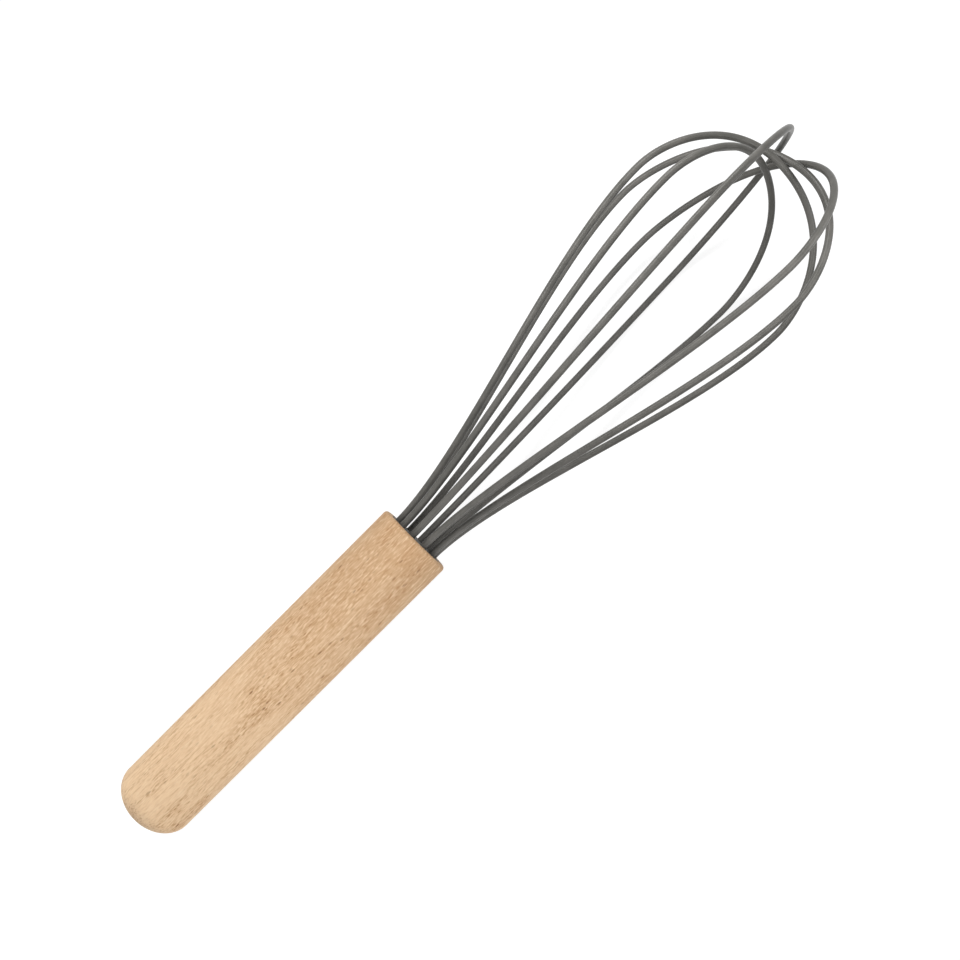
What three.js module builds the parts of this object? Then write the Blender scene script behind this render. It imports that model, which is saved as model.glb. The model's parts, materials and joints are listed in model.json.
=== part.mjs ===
// Balloon whisk: silicone-coated wire loops held in a turned beech handle. Millimetres, +Z up.
// The whisk is drawn standing on its axis, tip up, with the handle's front face at z = 0.
// It is then laid down, resting on two neighbouring wires and the butt of the handle.

import * as THREE from 'three';

// Handle: a round grip, a little thicker at the front, domed at the butt and drilled from the front
const FRONT_DIAMETER = 26;
const BUTT_DIAMETER = 24.9;
const HANDLE_LENGTH = 120.3;
const BUTT_DOME_DEPTH = 8.4;
const FRONT_EDGE_RADIUS = 1.2;
const DRILL_POINT_ANGLE = 118;

// Wire: a steel core in a silicone coat
const CORE_DIAMETER = 1.4;
const COAT_WALL = 0.35;
const COAT_CLEARANCE = 0.1;

// Inside the handle: a plug that spaces the wires, and the resin that locks their bare ends
const WIRE_RING_RADIUS = 7.8;
const HOLDER_LENGTH = 22;
const HOLDER_RIM = 0.8;
const RESIN_LENGTH = 10;
const SEAT_CLEARANCE = 0.3;

// Loops: the heights are measured from the handle's front face to the middle of the wire.
// A pull is the length over which a wire keeps its direction before it bends away.
const BELLY_RADIUS = 35.7;
const BELLY_HEIGHT = 131.2;
const INNER_TIP_HEIGHT = 165.2;
const STACK_CLEARANCE = 0.4;
const NECK_PULL = 29.6;
const BELLY_PULL_DOWN = 36;
const BELLY_PULL_UP = 13.3;
const TIP_PULL = 25.9;

// The loops from the innermost tip to the outermost. Each is bent by hand, so it stands a
// little off its even place, in degrees: turned about the axis, swayed within its own plane,
// leaning out of it, and bowed, which leans its foot further and leaves its tip in place.
const LOOPS = [
  { turn: 9.3, sway: -1.8, lean: -1.35, bow: -4.8 },
  { turn: 5.9, sway: -0.5, lean: 0.75, bow: 0.7 },
  { turn: 2.6, sway: -0.2, lean: 0.95, bow: 1.6 },
  { turn: 7.6, sway: -1.2, lean: -0.35, bow: 1.3 },
  { turn: 5.3, sway: 0.1, lean: 2.2, bow: 0.3 },
];

// Facets
const HANDLE_SIDES = 36;
const DOME_STEPS = 9;
const EDGE_STEPS = 3;
const COAT_SIDES = 8;
const CORE_SIDES = 6;
const RISE_STEPS = 10;
const CROWN_STEPS = 13;
const CONTACT_POINTS = 180;
const SETTLING_PASSES = 40;

// Sizes that follow from the ones above
const FRONT_RADIUS = FRONT_DIAMETER / 2;
const BUTT_RADIUS = BUTT_DIAMETER / 2;
const CORE_RADIUS = CORE_DIAMETER / 2;
const COAT_BORE_RADIUS = CORE_RADIUS + COAT_CLEARANCE;
const WIRE_RADIUS = COAT_BORE_RADIUS + COAT_WALL;
const HOLDER_RADIUS = WIRE_RING_RADIUS + WIRE_RADIUS + SEAT_CLEARANCE + HOLDER_RIM;
const RESIN_BACK = -(HOLDER_LENGTH + SEAT_CLEARANCE + RESIN_LENGTH);
const BORE_RADIUS = HOLDER_RADIUS + SEAT_CLEARANCE;
const BORE_BACK = RESIN_BACK - SEAT_CLEARANCE;
const TIP_STEP = 2 * WIRE_RADIUS + STACK_CLEARANCE;
const LOOP_SPACING = 180 / LOOPS.length;

// Materials
const beech = new THREE.MeshStandardMaterial({ color: 0xdcb88c, roughness: 0.65, metalness: 0 });
const silicone = new THREE.MeshStandardMaterial({ color: 0x5b5a57, roughness: 0.55, metalness: 0 });
const steel = new THREE.MeshStandardMaterial({ color: 0xb8bbbf, roughness: 0.35, metalness: 1 });
const nylon = new THREE.MeshStandardMaterial({ color: 0x4a4946, roughness: 0.6, metalness: 0 });
const resin = new THREE.MeshStandardMaterial({ color: 0xc8a96a, roughness: 0.3, metalness: 0 });

function namedMesh(name, geometry, material) {
  const mesh = new THREE.Mesh(geometry, material);
  mesh.name = name;
  return mesh;
}

// The corners of a regular polygon about a centre
function polygon(radius, sides, centre = new THREE.Vector2()) {
  const corner = (_, i) => {
    const angle = (i / sides) * 2 * Math.PI;
    return new THREE.Vector2(Math.cos(angle), Math.sin(angle)).multiplyScalar(radius).add(centre);
  };
  return Array.from({ length: sides }, corner);
}

// A direction square to the axis, at an angle in degrees
function radial(degrees) {
  const angle = THREE.MathUtils.degToRad(degrees);
  return new THREE.Vector3(Math.cos(angle), Math.sin(angle), 0);
}

// How far a line at an angle in degrees from the axis goes aside for each step up
function slope(degrees) {
  return Math.tan(THREE.MathUtils.degToRad(degrees));
}

// Handle: revolved from the butt's middle round the outside and down the bore to its drill point
function makeHandle() {
  const domeBase = BUTT_DOME_DEPTH - HANDLE_LENGTH;
  const dome = new THREE.EllipseCurve(0, domeBase, BUTT_RADIUS, BUTT_DOME_DEPTH, -Math.PI / 2, 0);
  const edge = new THREE.EllipseCurve(
    FRONT_RADIUS - FRONT_EDGE_RADIUS,
    -FRONT_EDGE_RADIUS,
    FRONT_EDGE_RADIUS,
    FRONT_EDGE_RADIUS,
    0,
    Math.PI / 2,
  );
  const drillPointDepth = BORE_RADIUS / slope(DRILL_POINT_ANGLE / 2);
  const profile = [
    new THREE.Vector2(0, -HANDLE_LENGTH),
    ...dome.getPoints(DOME_STEPS).slice(1),
    ...edge.getPoints(EDGE_STEPS),
    new THREE.Vector2(BORE_RADIUS, 0),
    new THREE.Vector2(BORE_RADIUS, BORE_BACK),
    new THREE.Vector2(0, BORE_BACK - drillPointDepth),
  ];
  const handle = namedMesh('handle', new THREE.LatheGeometry(profile, HANDLE_SIDES), beech);
  handle.rotation.x = Math.PI / 2;
  return handle;
}

// The even place of a loop round the axis. The near half of the last loop and the far half of the
// first one straddle the side that goes down.
function evenAngle(index) {
  return (LOOPS.length - 0.5 - index) * LOOP_SPACING;
}

// Where one end of a loop stands in the ring of wires: side is 1 or -1
function neckPoint(index, side, height) {
  const place = radial(evenAngle(index)).multiplyScalar(side * WIRE_RING_RADIUS);
  place.z = height;
  return place;
}

// A round plug in the bore with a hole for each end of each loop
function makePlug(name, length, holeRadius, holeSides, material) {
  const disc = new THREE.Shape(polygon(HOLDER_RADIUS, HANDLE_SIDES));
  LOOPS.forEach((_, index) => {
    [1, -1].forEach((side) => {
      const centre = neckPoint(index, side, 0);
      disc.holes.push(new THREE.Path(polygon(holeRadius, holeSides, new THREE.Vector2(centre.x, centre.y))));
    });
  });
  return namedMesh(name, new THREE.ExtrudeGeometry(disc, { depth: length, bevelEnabled: false }), material);
}

function makeHolder() {
  const holder = makePlug('wire_holder', HOLDER_LENGTH, WIRE_RADIUS + SEAT_CLEARANCE, COAT_SIDES, nylon);
  holder.position.z = -HOLDER_LENGTH;
  return holder;
}

function makeResin() {
  const fill = makePlug('bonding_resin', RESIN_LENGTH, CORE_RADIUS + SEAT_CLEARANCE, CORE_SIDES, resin);
  fill.position.z = RESIN_BACK;
  return fill;
}

// A run of curves joined end to end, each cut into its own number of even steps
class SteppedPath extends THREE.Curve {
  constructor(runs) {
    super();
    this.runs = runs;
    this.steps = runs.reduce((sum, run) => sum + run.steps, 0);
  }

  getPoint(t) {
    let place = t * this.steps;
    let i = 0;
    while (place > this.runs[i].steps && i < this.runs.length - 1) {
      place -= this.runs[i].steps;
      i += 1;
    }
    return this.runs[i].curve.getPointAt(Math.min(place / this.runs[i].steps, 1));
  }

  getPointAt(u) {
    return this.getPoint(u);
  }

  getTangentAt(u, target) {
    return this.getTangent(u, target);
  }
}

// The middle of one wire, from end to end: up out of the holder on one side, out to the belly,
// over the tip above the loops inside it, and down again on the other side
function loopRuns(index) {
  const { turn, sway, lean, bow } = LOOPS[index];
  const tipHeight = INNER_TIP_HEIGHT + index * TIP_STEP;
  const bellyWay = radial(evenAngle(index) + turn);
  const leanWay = radial(evenAngle(index) + turn + 90);
  const bent = (height, reach) => {
    const aside = slope(lean) + slope(bow) * (1 - height / tipHeight);
    return new THREE.Vector3(0, 0, height)
      .addScaledVector(bellyWay, reach + height * slope(sway))
      .addScaledVector(leanWay, height * aside);
  };
  const half = (side) => ({
    end: neckPoint(index, side, RESIN_BACK),
    coatEnd: neckPoint(index, side, -HOLDER_LENGTH),
    neck: neckPoint(index, side, 0),
    neckPull: neckPoint(index, side, NECK_PULL),
    bellyPullDown: bent(BELLY_HEIGHT - BELLY_PULL_DOWN, side * BELLY_RADIUS),
    belly: bent(BELLY_HEIGHT, side * BELLY_RADIUS),
    bellyPullUp: bent(BELLY_HEIGHT + BELLY_PULL_UP, side * BELLY_RADIUS),
    tipPull: bent(tipHeight, side * TIP_PULL),
  });
  const a = half(1);
  const b = half(-1);
  const tip = bent(tipHeight, 0);
  const line = (from, to) => ({ curve: new THREE.LineCurve3(from, to), steps: 1 });
  const bend = (points, steps) => ({ curve: new THREE.CubicBezierCurve3(...points), steps });
  return [
    line(a.end, a.coatEnd),
    line(a.coatEnd, a.neck),
    bend([a.neck, a.neckPull, a.bellyPullDown, a.belly], RISE_STEPS),
    bend([a.belly, a.bellyPullUp, a.tipPull, tip], CROWN_STEPS),
    bend([tip, b.tipPull, b.bellyPullUp, b.belly], CROWN_STEPS),
    bend([b.belly, b.bellyPullDown, b.neckPull, b.neck], RISE_STEPS),
    line(b.neck, b.coatEnd),
    line(b.coatEnd, b.end),
  ];
}

function sweep(section, runs) {
  const path = new SteppedPath(runs);
  return new THREE.ExtrudeGeometry(section, { steps: path.steps, extrudePath: path });
}

// Steel core: the whole wire, bare at both ends where the resin holds it
function makeCore(index) {
  const section = new THREE.Shape(polygon(CORE_RADIUS, CORE_SIDES));
  return namedMesh(`loop_core_${index + 1}`, sweep(section, loopRuns(index)), steel);
}

// Silicone coat: a hollow sleeve over the core, from the holder's back round to it again
function makeCoat(index) {
  const section = new THREE.Shape(polygon(WIRE_RADIUS, COAT_SIDES));
  section.holes.push(new THREE.Path(polygon(COAT_BORE_RADIUS, CORE_SIDES)));
  return namedMesh(`loop_coat_${index + 1}`, sweep(section, loopRuns(index).slice(1, -1)), silicone);
}

// Points of what touches the ground, each a wire's radius inside the surface
function groundContacts() {
  const nearHalf = loopRuns(LOOPS.length - 1).slice(2, 4);
  const farHalf = loopRuns(0).slice(4, 6);
  const butt = polygon(BUTT_RADIUS - WIRE_RADIUS, CONTACT_POINTS);
  const buttHeight = BUTT_DOME_DEPTH - HANDLE_LENGTH;
  return [
    new SteppedPath(nearHalf).getPoints(CONTACT_POINTS),
    new SteppedPath(farHalf).getPoints(CONTACT_POINTS),
    butt.map((point) => new THREE.Vector3(point.x, point.y, buttHeight)),
  ];
}

// Lays the whisk along +X and turns it until its three contacts are level, then sets its box on
// the ground with the middle of the box over the origin
function layDown(whisk) {
  const up = new THREE.Vector3(0, 0, 1);
  const contacts = groundContacts();
  const lowest = (points) => points
    .map((point) => point.clone().applyQuaternion(whisk.quaternion))
    .reduce((low, point) => (point.z < low.z ? point : low));
  whisk.quaternion.setFromUnitVectors(up, new THREE.Vector3(1, 0, 0));
  for (let pass = 0; pass < SETTLING_PASSES; pass += 1) {
    const { normal } = new THREE.Plane().setFromCoplanarPoints(...contacts.map(lowest));
    normal.multiplyScalar(Math.sign(normal.z));
    whisk.quaternion.premultiply(new THREE.Quaternion().setFromUnitVectors(normal, up));
  }
  const axis = up.clone().applyQuaternion(whisk.quaternion);
  const heading = Math.atan2(axis.y, axis.x);
  whisk.quaternion.premultiply(new THREE.Quaternion().setFromAxisAngle(up, -heading));
  const box = new THREE.Box3().setFromObject(whisk, true);
  const middle = box.getCenter(new THREE.Vector3());
  whisk.position.set(-middle.x, -middle.y, -box.min.z);
}

const whisk = new THREE.Group();
whisk.add(makeHandle(), makeHolder(), makeResin());
LOOPS.forEach((_, index) => whisk.add(makeCore(index), makeCoat(index)));
layDown(whisk);

const group = new THREE.Group();
group.add(whisk);

export default group;
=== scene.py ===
"""A balloon whisk: silicone-coated wire loops in a turned beech handle, lying on a pale floor.

The pieces are made in the whisk's own frame, where its axis is z, its tip is up and the middle of
the handle's front face is the origin. One matrix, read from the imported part, then lays them down.
"""

import json
import math

import bpy
from mathutils import Matrix, Vector
from mathutils.geometry import interpolate_bezier, tessellate_polygon


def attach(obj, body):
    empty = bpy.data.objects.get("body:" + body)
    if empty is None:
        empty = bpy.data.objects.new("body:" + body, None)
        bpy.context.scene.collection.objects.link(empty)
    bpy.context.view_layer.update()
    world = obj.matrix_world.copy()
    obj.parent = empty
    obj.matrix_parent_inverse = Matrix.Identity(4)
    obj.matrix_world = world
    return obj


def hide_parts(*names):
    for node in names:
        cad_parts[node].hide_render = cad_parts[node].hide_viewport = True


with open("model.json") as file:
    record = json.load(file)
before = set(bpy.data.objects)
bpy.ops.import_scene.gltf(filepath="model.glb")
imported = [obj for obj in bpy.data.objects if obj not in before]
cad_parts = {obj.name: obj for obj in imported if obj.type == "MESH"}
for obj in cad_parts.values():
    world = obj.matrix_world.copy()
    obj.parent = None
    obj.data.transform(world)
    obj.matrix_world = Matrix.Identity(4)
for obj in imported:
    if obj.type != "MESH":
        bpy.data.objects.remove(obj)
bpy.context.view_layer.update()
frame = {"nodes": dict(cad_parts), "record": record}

MM = 0.001

# Handle
FRONT_RADIUS = 13 * MM
BUTT_RADIUS = 12.45 * MM
HANDLE_LENGTH = 120.3 * MM
BUTT_DOME_DEPTH = 8.4 * MM
FRONT_EDGE_RADIUS = 1.2 * MM
BORE_EDGE_RADIUS = 0.3 * MM
DRILL_POINT_ANGLE = 118

# Wire
CORE_RADIUS = 0.7 * MM
COAT_BORE_RADIUS = 0.8 * MM
WIRE_RADIUS = 1.15 * MM

# Inside the handle
WIRE_RING_RADIUS = 7.8 * MM
HOLDER_LENGTH = 22 * MM
HOLDER_RIM = 0.8 * MM
RESIN_LENGTH = 10 * MM
SEAT_CLEARANCE = 0.3 * MM
HOLDER_RADIUS = WIRE_RING_RADIUS + WIRE_RADIUS + SEAT_CLEARANCE + HOLDER_RIM
BORE_RADIUS = HOLDER_RADIUS + SEAT_CLEARANCE
RESIN_BACK = -(HOLDER_LENGTH + SEAT_CLEARANCE + RESIN_LENGTH)
BORE_BACK = RESIN_BACK - SEAT_CLEARANCE

# Loops, from the innermost tip to the outermost, with their bends in degrees
BELLY_RADIUS = 35.7 * MM
BELLY_HEIGHT = 131.2 * MM
INNER_TIP_HEIGHT = 165.2 * MM
TIP_STEP = 2.7 * MM
NECK_PULL = 29.6 * MM
BELLY_PULL_DOWN = 36 * MM
BELLY_PULL_UP = 13.3 * MM
TIP_PULL = 25.9 * MM
LOOPS = [
    {"turn": 9.3, "sway": -1.8, "lean": -1.35, "bow": -4.8},
    {"turn": 5.9, "sway": -0.5, "lean": 0.75, "bow": 0.7},
    {"turn": 2.6, "sway": -0.2, "lean": 0.95, "bow": 1.6},
    {"turn": 7.6, "sway": -1.2, "lean": -0.35, "bow": 1.3},
    {"turn": 5.3, "sway": 0.1, "lean": 2.2, "bow": 0.3},
]
LOOP_SPACING = 180 / len(LOOPS)

# Facets
HANDLE_SIDES = 96
DOME_STEPS = 24
BODY_STEPS = 12
EDGE_STEPS = 6
COAT_SIDES = 20
BORE_SIDES = 10
RISE_STEPS = 48
CROWN_STEPS = 56
STRAIGHT_STEPS = 4
HOLE_SIDES = 24
SHARP_ANGLE = 35

# Camera: where it looks, from how far, and how much it sees across at that distance
VIEW_HEIGHT = 27.4 * MM
VIEW_ASIDE = 1.2 * MM
VIEW_DISTANCE = 285.1 * MM
VIEW_WIDTH = 304.1 * MM
VIEW_ANGLE = 208.7
VIEW_TILT = 3
VIEW_ROLL = 45
SENSOR_WIDTH = 36
CLIP_START = 10 * MM

# Floor and background
FLOOR_SIZE = 6.0
FLOOR_DROP = 0.05 * MM
FLOOR_COLOUR = (0.35, 0.35, 0.35, 1)
FLOOR_ROUGHNESS = 0.9
FLOOR_GLOW_NEAR = 0.82
FLOOR_GLOW_FAR = 1
GLOW_START = 70 * MM
GLOW_END = 150 * MM
GLOW_SLIMMING = (0.5, 1, 1)
AMBIENT = 0.06
WHITE = (1, 1, 1, 1)

# Lamps: height aimed at, direction in the picture (right, up, out), distance, length, width, power
LAMPS = [
    ("loop_key", 132 * MM, (-0.42, 0.57, 0.75), 115 * MM, 190 * MM, 20 * MM, 0.168),
    ("loop_fill", 88 * MM, (0.6, -0.05, 0.87), 90 * MM, 200 * MM, 20 * MM, 0.056),
    ("handle_key", -0.65 * HANDLE_LENGTH, (-0.15, 0.15, 1), 160 * MM, 200 * MM, 120 * MM, 0.112),
    ("left_fill", -0.65 * HANDLE_LENGTH, (-0.7, 0.7, 0.5), 160 * MM, 100 * MM, 60 * MM, 0.12),
    ("right_fill", -0.5 * HANDLE_LENGTH, (0.7, -0.7, 0.5), 160 * MM, 100 * MM, 60 * MM, 0.15),
    ("butt_fill", -HANDLE_LENGTH, (-0.8, -0.8, 0.4), 140 * MM, 60 * MM, 60 * MM, 0.04),
]


def radial(degrees, radius=1.0, height=0.0):
    """The point at an angle, a radius and a height, in the whisk's own frame."""
    angle = math.radians(degrees)
    return Vector((math.cos(angle) * radius, math.sin(angle) * radius, height))


def slope(degrees):
    """How far a line at an angle from the axis goes aside for each step up."""
    return math.tan(math.radians(degrees))


def even_angle(index):
    """The even place of a loop round the axis, in degrees."""
    return (len(LOOPS) - 0.5 - index) * LOOP_SPACING


def middle(points):
    return sum(points, Vector()) / len(points)


def read_pose():
    """The whisk's own frame in the row frame, from a mount and the bare ends of the last loop's core."""
    mount = next(m for m in frame["record"]["mounts"] if m["name"] == "front_face")
    axis = Vector(mount["axis"]).normalized()
    last = len(LOOPS) - 1
    core = frame["nodes"][f"loop_core_{last + 1}"]
    places = {tuple(round(x, 6) for x in vertex.co) for vertex in core.data.vertices}
    corners = [Vector(place) for place in places]
    back = min(corner.dot(axis) for corner in corners)
    ends = sorted((c for c in corners if c.dot(axis) < back + CORE_RADIUS), key=lambda c: c.z)
    low = middle(ends[: len(ends) // 2])
    high = middle(ends[len(ends) // 2 :])
    origin = (low + high) / 2 - axis * RESIN_BACK
    loop_way = (low - high).normalized()
    x_way = Matrix.Rotation(math.radians(-even_angle(last)), 3, axis) @ loop_way
    y_way = axis.cross(x_way)
    turn = Matrix((x_way, y_way, axis)).transposed()
    return Matrix.Translation(origin) @ turn.to_4x4()


POSE = read_pose()


def add_piece(name, vertices, faces, material, slot, node):
    """A smooth piece in the whisk's own frame that stands for a CAD node."""
    mesh = bpy.data.meshes.new(name)
    mesh.from_pydata(vertices, [], faces)
    mesh.validate()
    mesh.transform(POSE)
    mesh.shade_smooth()
    mesh.set_sharp_from_angle(angle=math.radians(SHARP_ANGLE))
    mesh.materials.append(material)
    piece = bpy.data.objects.new(name, mesh)
    bpy.context.scene.collection.objects.link(piece)
    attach(piece, "root")
    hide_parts(node)


def arc(centre, radii, start, end, steps):
    """Points of an ellipse's arc in a profile, where x is the radius and y the height."""
    angles = [math.radians(start + (end - start) * i / steps) for i in range(steps + 1)]
    return [(centre[0] + radii[0] * math.cos(a), centre[1] + radii[1] * math.sin(a)) for a in angles]


def revolve(profile, sides):
    """The vertices and faces of a profile turned about the axis. Its ends lie on the axis."""
    vertices = [Vector((0, 0, profile[0][1])), Vector((0, 0, profile[-1][1]))]
    rings = profile[1:-1]
    for radius, height in rings:
        vertices += [radial(360 * j / sides, radius, height) for j in range(sides)]

    def corner(ring, j):
        return 2 + ring * sides + j % sides

    faces = [(0, corner(0, j + 1), corner(0, j)) for j in range(sides)]
    for ring in range(len(rings) - 1):
        faces += [
            (corner(ring, j), corner(ring, j + 1), corner(ring + 1, j + 1), corner(ring + 1, j))
            for j in range(sides)
        ]
    last = len(rings) - 1
    faces += [(1, corner(last, j), corner(last, j + 1)) for j in range(sides)]
    return vertices, faces


def carried_frames(path):
    """Two directions square to the path at each of its points, carried along without twist."""
    count = len(path)
    tangents = [(path[min(i + 1, count - 1)] - path[max(i - 1, 0)]).normalized() for i in range(count)]
    across = tangents[0].orthogonal().normalized()
    frames = []
    for i, tangent in enumerate(tangents):
        if i:
            across = tangents[i - 1].rotation_difference(tangent) @ across
        frames.append((across, tangent.cross(across)))
    return frames


def sweep(path, radius, sides):
    """Rings of vertices round a path."""
    angles = [2 * math.pi * j / sides for j in range(sides)]
    return [
        [point + (a * math.cos(t) + b * math.sin(t)) * radius for t in angles]
        for point, (a, b) in zip(path, carried_frames(path))
    ]


def skin(rings, first, inward=False):
    """The faces between neighbouring rings, whose vertices are numbered from first."""
    sides = len(rings[0])
    faces = []
    for i in range(len(rings) - 1):
        for j in range(sides):
            a = first + i * sides + j
            b = first + i * sides + (j + 1) % sides
            quad = (a, b, b + sides, a + sides)
            faces.append(quad[::-1] if inward else quad)
    return faces


def rod(path, radius, sides):
    """A solid round wire along a path."""
    rings = sweep(path, radius, sides)
    vertices = [vertex for ring in rings for vertex in ring]
    faces = skin(rings, 0)
    faces.append(tuple(reversed(range(sides))))
    faces.append(tuple(range(len(vertices) - sides, len(vertices))))
    return vertices, faces


def sleeve(path, radius, bore, sides):
    """A round hollow sleeve along a path."""
    outside = sweep(path, radius, sides)
    inside = sweep(path, bore, sides)
    vertices = [vertex for ring in outside + inside for vertex in ring]
    first_inside = len(outside) * sides
    faces = skin(outside, 0) + skin(inside, first_inside, inward=True)
    last = (len(outside) - 1) * sides
    for j in range(sides):
        k = (j + 1) % sides
        faces.append((k, j, first_inside + j, first_inside + k))
        faces.append((last + j, last + k, first_inside + last + k, first_inside + last + j))
    return vertices, faces


def straight(start, end, steps):
    return [start.lerp(end, i / steps) for i in range(steps + 1)]


def joined(runs):
    """One path from runs that meet end to end."""
    path = list(runs[0])
    for run in runs[1:]:
        path += run[1:]
    return path


def loop_path(index, end_height):
    """The middle of one wire: out of the holder, out to the belly, over the tip and back down."""
    loop = LOOPS[index]
    tip_height = INNER_TIP_HEIGHT + index * TIP_STEP
    angle = even_angle(index) + loop["turn"]

    def bent(height, reach):
        aside = slope(loop["lean"]) + slope(loop["bow"]) * (1 - height / tip_height)
        place = radial(angle, reach + height * slope(loop["sway"]), height)
        return place + radial(angle + 90, height * aside)

    def neck(side, height):
        return radial(even_angle(index), side * WIRE_RING_RADIUS, height)

    def half(side):
        belly = bent(BELLY_HEIGHT, side * BELLY_RADIUS)
        rise = interpolate_bezier(
            neck(side, 0),
            neck(side, NECK_PULL),
            bent(BELLY_HEIGHT - BELLY_PULL_DOWN, side * BELLY_RADIUS),
            belly,
            RISE_STEPS + 1,
        )
        crown = interpolate_bezier(
            belly,
            bent(BELLY_HEIGHT + BELLY_PULL_UP, side * BELLY_RADIUS),
            bent(tip_height, side * TIP_PULL),
            bent(tip_height, 0),
            CROWN_STEPS + 1,
        )
        return joined([straight(neck(side, end_height), neck(side, 0), STRAIGHT_STEPS), rise, crown])

    return joined([half(1), half(-1)[::-1]])


def make_handle(material):
    """The turned grip: its domed butt, its slight taper, its eased front edge and its drilled bore."""
    dome = arc((0, BUTT_DOME_DEPTH - HANDLE_LENGTH), (BUTT_RADIUS, BUTT_DOME_DEPTH), -90, 0, DOME_STEPS)
    edge_radii = (FRONT_EDGE_RADIUS, FRONT_EDGE_RADIUS)
    edge = arc((FRONT_RADIUS - FRONT_EDGE_RADIUS, -FRONT_EDGE_RADIUS), edge_radii, 0, 90, EDGE_STEPS)
    shares = [i / BODY_STEPS for i in range(1, BODY_STEPS)]
    body = [tuple(Vector(dome[-1]).lerp(Vector(edge[0]), share)) for share in shares]
    bore_radii = (BORE_EDGE_RADIUS, BORE_EDGE_RADIUS)
    bore_edge = arc((BORE_RADIUS + BORE_EDGE_RADIUS, -BORE_EDGE_RADIUS), bore_radii, 90, 180, EDGE_STEPS)
    drill_point = BORE_RADIUS / slope(DRILL_POINT_ANGLE / 2)
    bore = [(BORE_RADIUS, BORE_BACK), (0, BORE_BACK - drill_point)]
    profile = [(0, -HANDLE_LENGTH)] + dome[1:] + body + edge + bore_edge + bore
    add_piece("beech_handle", *revolve(profile, HANDLE_SIDES), material, "beech", "handle")


def make_plug(name, node, back, length, hole_radius, material, slot):
    """A round plug in the bore, with a hole for each end of each loop."""
    outlines = [[radial(360 * j / HANDLE_SIDES, HOLDER_RADIUS) for j in range(HANDLE_SIDES)]]
    for index in range(len(LOOPS)):
        for side in (1, -1):
            centre = radial(even_angle(index), side * WIRE_RING_RADIUS)
            hole = [centre + radial(-360 * j / HOLE_SIDES, hole_radius) for j in range(HOLE_SIDES)]
            outlines.append(hole)
    corners = [corner for outline in outlines for corner in outline]
    count = len(corners)
    low = Vector((0, 0, back))
    high = Vector((0, 0, back + length))
    vertices = [corner + low for corner in corners] + [corner + high for corner in corners]
    faces = []
    for triangle in tessellate_polygon(outlines):
        a, b, c = triangle
        turn = (corners[b] - corners[a]).cross(corners[c] - corners[a]).z
        top = triangle if turn > 0 else triangle[::-1]
        faces.append(tuple(i + count for i in top))
        faces.append(tuple(reversed(top)))
    first = 0
    for outline in outlines:
        for j in range(len(outline)):
            a = first + j
            b = first + (j + 1) % len(outline)
            faces.append((a, b, b + count, a + count))
        first += len(outline)
    add_piece(name, vertices, faces, material, slot, node)


def shader(name):
    """A new material's node tree and its principled shader."""
    material = bpy.data.materials.new(name)
    material.use_nodes = True
    return material, material.node_tree, material.node_tree.nodes["Principled BSDF"]


def add_node(tree, kind, inputs=None, **settings):
    """A node with its settings, whose inputs are values or other nodes' outputs."""
    node = tree.nodes.new(kind)
    for name, value in settings.items():
        setattr(node, name, value)
    for name, value in (inputs or {}).items():
        connect(tree, value, node.inputs[name])
    return node


def connect(tree, value, socket):
    if isinstance(value, bpy.types.NodeSocket):
        tree.links.new(value, socket)
    else:
        socket.default_value = value


def linear(red, green, blue):
    """A colour of the screen, from 0 to 255, as the light that a shader works with."""

    def level(value):
        share = value / 255
        return share / 12.92 if share <= 0.04045 else ((share + 0.055) / 1.055) ** 2.4

    return (level(red), level(green), level(blue), 1)


def own_place(tree):
    """Where a point lies in the whisk's own frame, before it was laid down."""
    place = add_node(tree, "ShaderNodeTexCoord").outputs["Object"]
    laid = {"Vector": place, "Location": POSE.translation, "Rotation": tuple(POSE.to_euler())}
    return add_node(tree, "ShaderNodeMapping", laid, vector_type="TEXTURE").outputs["Vector"]


def in_cells(tree, place, across, along):
    """A place counted in cells of a size across and along the axis."""
    scale = (1 / across, 1 / across, 1 / along)
    return add_node(tree, "ShaderNodeMapping", {"Vector": place, "Scale": scale}).outputs["Vector"]


def noise(tree, place, across, along, detail):
    """A soft random value that changes over a length across and along the axis."""
    inputs = {"Vector": in_cells(tree, place, across, along), "Scale": 1, "Detail": detail}
    return add_node(tree, "ShaderNodeTexNoise", inputs).outputs["Fac"]


def wavy(tree, place, reach, across, along):
    """A place moved aside by soft waves."""
    inputs = {"Vector": in_cells(tree, place, across, along), "Scale": 1, "Detail": 1}
    waves = add_node(tree, "ShaderNodeTexNoise", inputs).outputs["Color"]
    centred = add_node(tree, "ShaderNodeVectorMath", {0: waves, 1: (0.5, 0.5, 0.5)}, operation="SUBTRACT")
    inputs = {0: centred.outputs["Vector"], 1: (reach, reach, reach), 2: place}
    return add_node(tree, "ShaderNodeVectorMath", inputs, operation="MULTIPLY_ADD").outputs["Vector"]


def ramp(tree, value, low, high, start=0.0, end=1.0):
    """A value from start to end as another goes from low to high."""
    node = add_node(
        tree,
        "ShaderNodeMapRange",
        {"Value": value, "From Min": low, "From Max": high, "To Min": start, "To Max": end},
    )
    return node.outputs["Result"]


def over_noise(tree, value, start=0.0, end=1.0):
    """A value from start to end over the range in which most of a noise lies."""
    return ramp(tree, value, 0.3, 0.7, start, end)


def times(tree, a, b):
    return add_node(tree, "ShaderNodeMath", {0: a, 1: b}, operation="MULTIPLY").outputs["Value"]


def mixed(tree, share, a, b):
    """One colour going over into another. A mix node's colours are its sockets 6, 7 and 2."""
    node = add_node(tree, "ShaderNodeMix", {0: share, 6: a, 7: b}, data_type="RGBA")
    return node.outputs[2]


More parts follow.
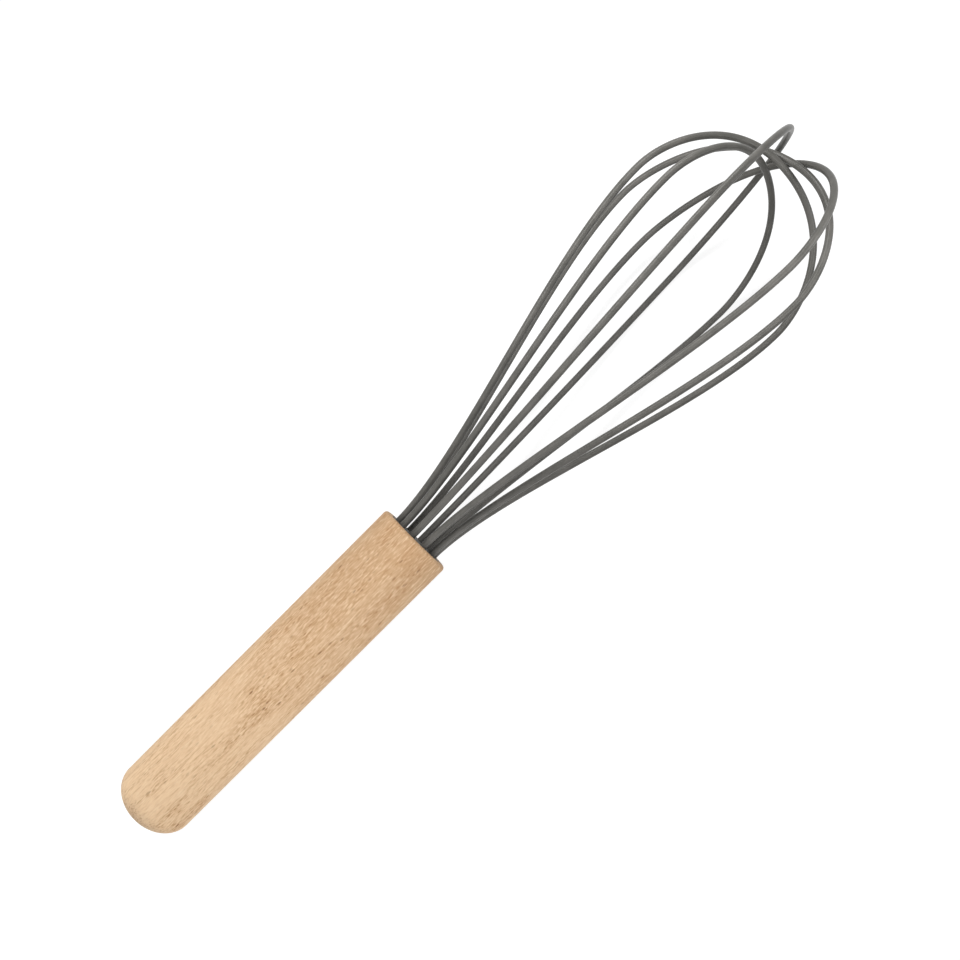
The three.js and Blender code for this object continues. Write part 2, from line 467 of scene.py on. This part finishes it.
def flecks(tree, place, across, along, width, share, core=0.4):
    """Slim marks along the grain: one in each cell, in a share of the cells, fading round their core."""
    inputs = {"Vector": in_cells(tree, place, across, along), "Scale": 1}
    cells = add_node(tree, "ShaderNodeTexVoronoi", inputs)
    mark = ramp(tree, cells.outputs["Distance"], width, width * core)
    chance = add_node(tree, "ShaderNodeSeparateColor", {"Color": cells.outputs["Color"]}).outputs["Red"]
    return times(tree, mark, ramp(tree, chance, share, share * core))


def paint(tree, surface, colour, roughness, specular=0.5):
    """A surface's colour, roughness and shine."""
    connect(tree, colour, surface.inputs["Base Color"])
    connect(tree, roughness, surface.inputs["Roughness"])
    surface.inputs["Specular IOR Level"].default_value = specular


def emboss(tree, surface, height, strength, depth):
    """Fine relief on a surface."""
    inputs = {"Height": height, "Strength": strength, "Distance": depth}
    relief = add_node(tree, "ShaderNodeBump", inputs)
    connect(tree, relief.outputs["Normal"], surface.inputs["Normal"])


def make_beech():
    """Pale beech, tanner towards the front, with dark flecks that crowd in bands along the grain."""
    material, tree, surface = shader("beech_wood")
    straight_place = own_place(tree)
    height = add_node(tree, "ShaderNodeSeparateXYZ", {"Vector": straight_place}).outputs["Z"]
    place = wavy(tree, straight_place, reach=1.2 * MM, across=9 * MM, along=22 * MM)
    bands = noise(tree, place, across=5 * MM, along=30 * MM, detail=2)
    streaks = noise(tree, place, across=0.62 * MM, along=8 * MM, detail=3)
    fibres = noise(tree, place, across=0.38 * MM, along=1.9 * MM, detail=3)
    light = linear(248, 220, 184)
    pale = linear(246, 212, 172)
    tan = linear(207, 169, 130)
    brown = linear(184, 138, 93)
    dark = linear(146, 100, 60)
    crowd = ramp(tree, bands, 0.4, 0.62, start=0.2)
    wood = mixed(tree, ramp(tree, height, -HANDLE_LENGTH, 0), pale, tan)
    wood = mixed(tree, ramp(tree, bands, 0.4, 0.7, end=0.25), wood, brown)
    wood = mixed(tree, ramp(tree, streaks, 0.46, 0.2, end=0.7), wood, light)
    wood = mixed(tree, ramp(tree, streaks, 0.53, 0.8, end=0.7), wood, brown)
    wood = mixed(tree, ramp(tree, fibres, 0.48, 0.25, end=0.7), wood, light)
    wood = mixed(tree, times(tree, ramp(tree, fibres, 0.5, 0.75), crowd), wood, brown)
    small = flecks(tree, place, across=0.85 * MM, along=2.4 * MM, width=0.38, share=0.55)
    wood = mixed(tree, times(tree, small, crowd), wood, brown)
    large = times(tree, flecks(tree, place, across=1.5 * MM, along=4 * MM, width=0.26, share=0.5), crowd)
    wood = mixed(tree, large, wood, dark)
    paint(tree, surface, wood, over_noise(tree, fibres, 0.55, 0.7), specular=0.25)
    pores = add_node(tree, "ShaderNodeMath", {0: fibres, 1: large}, operation="SUBTRACT").outputs["Value"]
    emboss(tree, surface, pores, strength=0.2, depth=0.1 * MM)
    return material


def make_silicone():
    """Matte dark grey silicone with soft patches and a fine grain."""
    material, tree, surface = shader("grey_silicone")
    place = own_place(tree)
    patches = noise(tree, place, across=6 * MM, along=6 * MM, detail=3)
    grain = noise(tree, place, across=0.25 * MM, along=0.25 * MM, detail=3)
    colour = mixed(tree, over_noise(tree, patches), linear(87, 86, 82), linear(103, 101, 97))
    colour = mixed(tree, ramp(tree, grain, 0.5, 0.8, end=0.2), colour, linear(126, 124, 119))
    paint(tree, surface, colour, over_noise(tree, patches, 0.28, 0.36), specular=0.2)
    emboss(tree, surface, grain, strength=0.15, depth=0.05 * MM)
    return material


def make_steel():
    """Bright spring wire with fine lines from drawing."""
    material, tree, surface = shader("drawn_steel")
    lines = noise(tree, own_place(tree), across=0.12 * MM, along=6 * MM, detail=3)
    colour = mixed(tree, lines, linear(176, 178, 182), linear(206, 208, 211))
    paint(tree, surface, colour, over_noise(tree, lines, 0.26, 0.42))
    surface.inputs["Metallic"].default_value = 1
    return material


def make_nylon():
    """Matte dark grey nylon."""
    material, tree, surface = shader("grey_nylon")
    grain = noise(tree, own_place(tree), across=0.4 * MM, along=0.4 * MM, detail=4)
    colour = mixed(tree, grain, linear(66, 65, 62), linear(84, 83, 79))
    paint(tree, surface, colour, over_noise(tree, grain, 0.5, 0.65))
    emboss(tree, surface, grain, strength=0.2, depth=0.05 * MM)
    return material


def make_resin():
    """Glossy amber resin with a soft haze."""
    material, tree, surface = shader("amber_resin")
    haze = noise(tree, own_place(tree), across=3 * MM, along=3 * MM, detail=3)
    colour = mixed(tree, haze, linear(196, 160, 96), linear(214, 184, 126))
    paint(tree, surface, colour, over_noise(tree, haze, 0.18, 0.3))
    return material


def make_whisk():
    """All thirteen pieces, each standing for its own CAD node."""
    make_handle(make_beech())
    coat_hole = WIRE_RADIUS + SEAT_CLEARANCE
    core_hole = CORE_RADIUS + SEAT_CLEARANCE
    nylon = make_nylon()
    resin = make_resin()
    make_plug("nylon_holder", "wire_holder", -HOLDER_LENGTH, HOLDER_LENGTH, coat_hole, nylon, "nylon")
    make_plug("resin_fill", "bonding_resin", RESIN_BACK, RESIN_LENGTH, core_hole, resin, "resin")
    steel = make_steel()
    silicone = make_silicone()
    for index in range(len(LOOPS)):
        number = index + 1
        core = rod(loop_path(index, RESIN_BACK), CORE_RADIUS, BORE_SIDES)
        add_piece(f"steel_core_{number}", *core, steel, "spring_steel", f"loop_core_{number}")
        coat = sleeve(loop_path(index, -HOLDER_LENGTH), WIRE_RADIUS, COAT_BORE_RADIUS, COAT_SIDES)
        add_piece(f"silicone_coat_{number}", *coat, silicone, "silicone", f"loop_coat_{number}")


def seen_background(tree):
    """One where a ray shows the background: seen by the camera, mirrored or seen through glass."""
    path = add_node(tree, "ShaderNodeLightPath")
    seen = path.outputs["Is Camera Ray"]
    for name in ("Is Glossy Ray", "Is Transmission Ray"):
        inputs = {0: seen, 1: path.outputs[name]}
        seen = add_node(tree, "ShaderNodeMath", inputs, operation="MAXIMUM").outputs["Value"]
    return seen


def make_floor():
    """A floor that glows white where it is seen, and less near the whisk, so that the shadow shows."""
    half = FLOOR_SIZE / 2
    mesh = bpy.data.meshes.new("floor")
    corners = [(-half, -half), (half, -half), (half, half), (-half, half)]
    mesh.from_pydata([(x, y, -FLOOR_DROP) for x, y in corners], [], [(0, 1, 2, 3)])
    floor = bpy.data.objects.new("floor", mesh)
    bpy.context.scene.collection.objects.link(floor)
    material, tree, surface = shader("pale_floor")
    paint(tree, surface, FLOOR_COLOUR, FLOOR_ROUGHNESS, specular=0)
    place = add_node(tree, "ShaderNodeTexCoord").outputs["Object"]
    slim = add_node(tree, "ShaderNodeMapping", {"Vector": place, "Scale": GLOW_SLIMMING}).outputs["Vector"]
    away = add_node(tree, "ShaderNodeVectorMath", {0: slim}, operation="LENGTH").outputs["Value"]
    glow = ramp(tree, away, GLOW_START, GLOW_END, FLOOR_GLOW_NEAR, FLOOR_GLOW_FAR)
    surface.inputs["Emission Color"].default_value = WHITE
    connect(tree, times(tree, seen_background(tree), glow), surface.inputs["Emission Strength"])
    mesh.materials.append(material)


def make_world():
    """A background that is white where it is seen and gives a little light of its own."""
    world = bpy.data.worlds.new("studio")
    bpy.context.scene.world = world
    world.use_nodes = True
    tree = world.node_tree
    background = tree.nodes["Background"]
    background.inputs["Color"].default_value = WHITE
    strength = ramp(tree, seen_background(tree), 0, 1, start=AMBIENT)
    connect(tree, strength, background.inputs["Strength"])


def picture_way(right, up, out):
    """A direction given as it looks in the picture: to the right, up and out of it."""
    axis = Vector((0, 0, 1))
    near = radial(VIEW_ANGLE)
    side = radial(VIEW_ANGLE + 90)
    tilt = math.radians(VIEW_TILT)
    along = axis * math.cos(tilt) + near * math.sin(tilt)
    out_way = near * math.cos(tilt) - axis * math.sin(tilt)
    roll = math.radians(VIEW_ROLL)
    right_way = along * math.cos(roll) + side * math.sin(roll)
    up_way = along * math.sin(roll) - side * math.cos(roll)
    return right_way * right + up_way * up + out_way * out


def aimed(place, target, up_way):
    """A matrix at a place, looking at a target with its own -z."""
    back = (place - target).normalized()
    right = up_way.cross(back).normalized()
    up = back.cross(right)
    return Matrix.Translation(place) @ Matrix((right, up, back)).transposed().to_4x4()


def beside_axis(height):
    """The point at a height that the picture shows on the line through its own middle."""
    return radial(VIEW_ANGLE + 90, VIEW_ASIDE, height)


def make_camera():
    """The camera of the main picture."""
    data = bpy.data.cameras.new("camera")
    data.sensor_width = SENSOR_WIDTH
    data.lens = SENSOR_WIDTH * VIEW_DISTANCE / VIEW_WIDTH
    data.clip_start = CLIP_START
    camera = bpy.data.objects.new("camera", data)
    bpy.context.scene.collection.objects.link(camera)
    target = beside_axis(VIEW_HEIGHT)
    place = target + picture_way(0, 0, 1) * VIEW_DISTANCE
    camera.matrix_world = POSE @ aimed(place, target, picture_way(0, 1, 0))
    bpy.context.scene.camera = camera


def make_strip_light(name, height, way, distance, length, width, power):
    """A soft light along the whisk, aimed at a height from a direction as it looks in the picture."""
    data = bpy.data.lights.new(name, "AREA")
    data.shape = "RECTANGLE"
    data.size = length
    data.size_y = width
    data.energy = power
    lamp = bpy.data.objects.new(name, data)
    bpy.context.scene.collection.objects.link(lamp)
    target = beside_axis(height)
    place = target + picture_way(*way).normalized() * distance
    lamp.matrix_world = POSE @ aimed(place, target, picture_way(-1, 1, 0))


make_whisk()
make_floor()
make_world()
make_camera()
for lamp in LAMPS:
    make_strip_light(*lamp)
bpy.context.scene.view_settings.view_transform = "Standard"
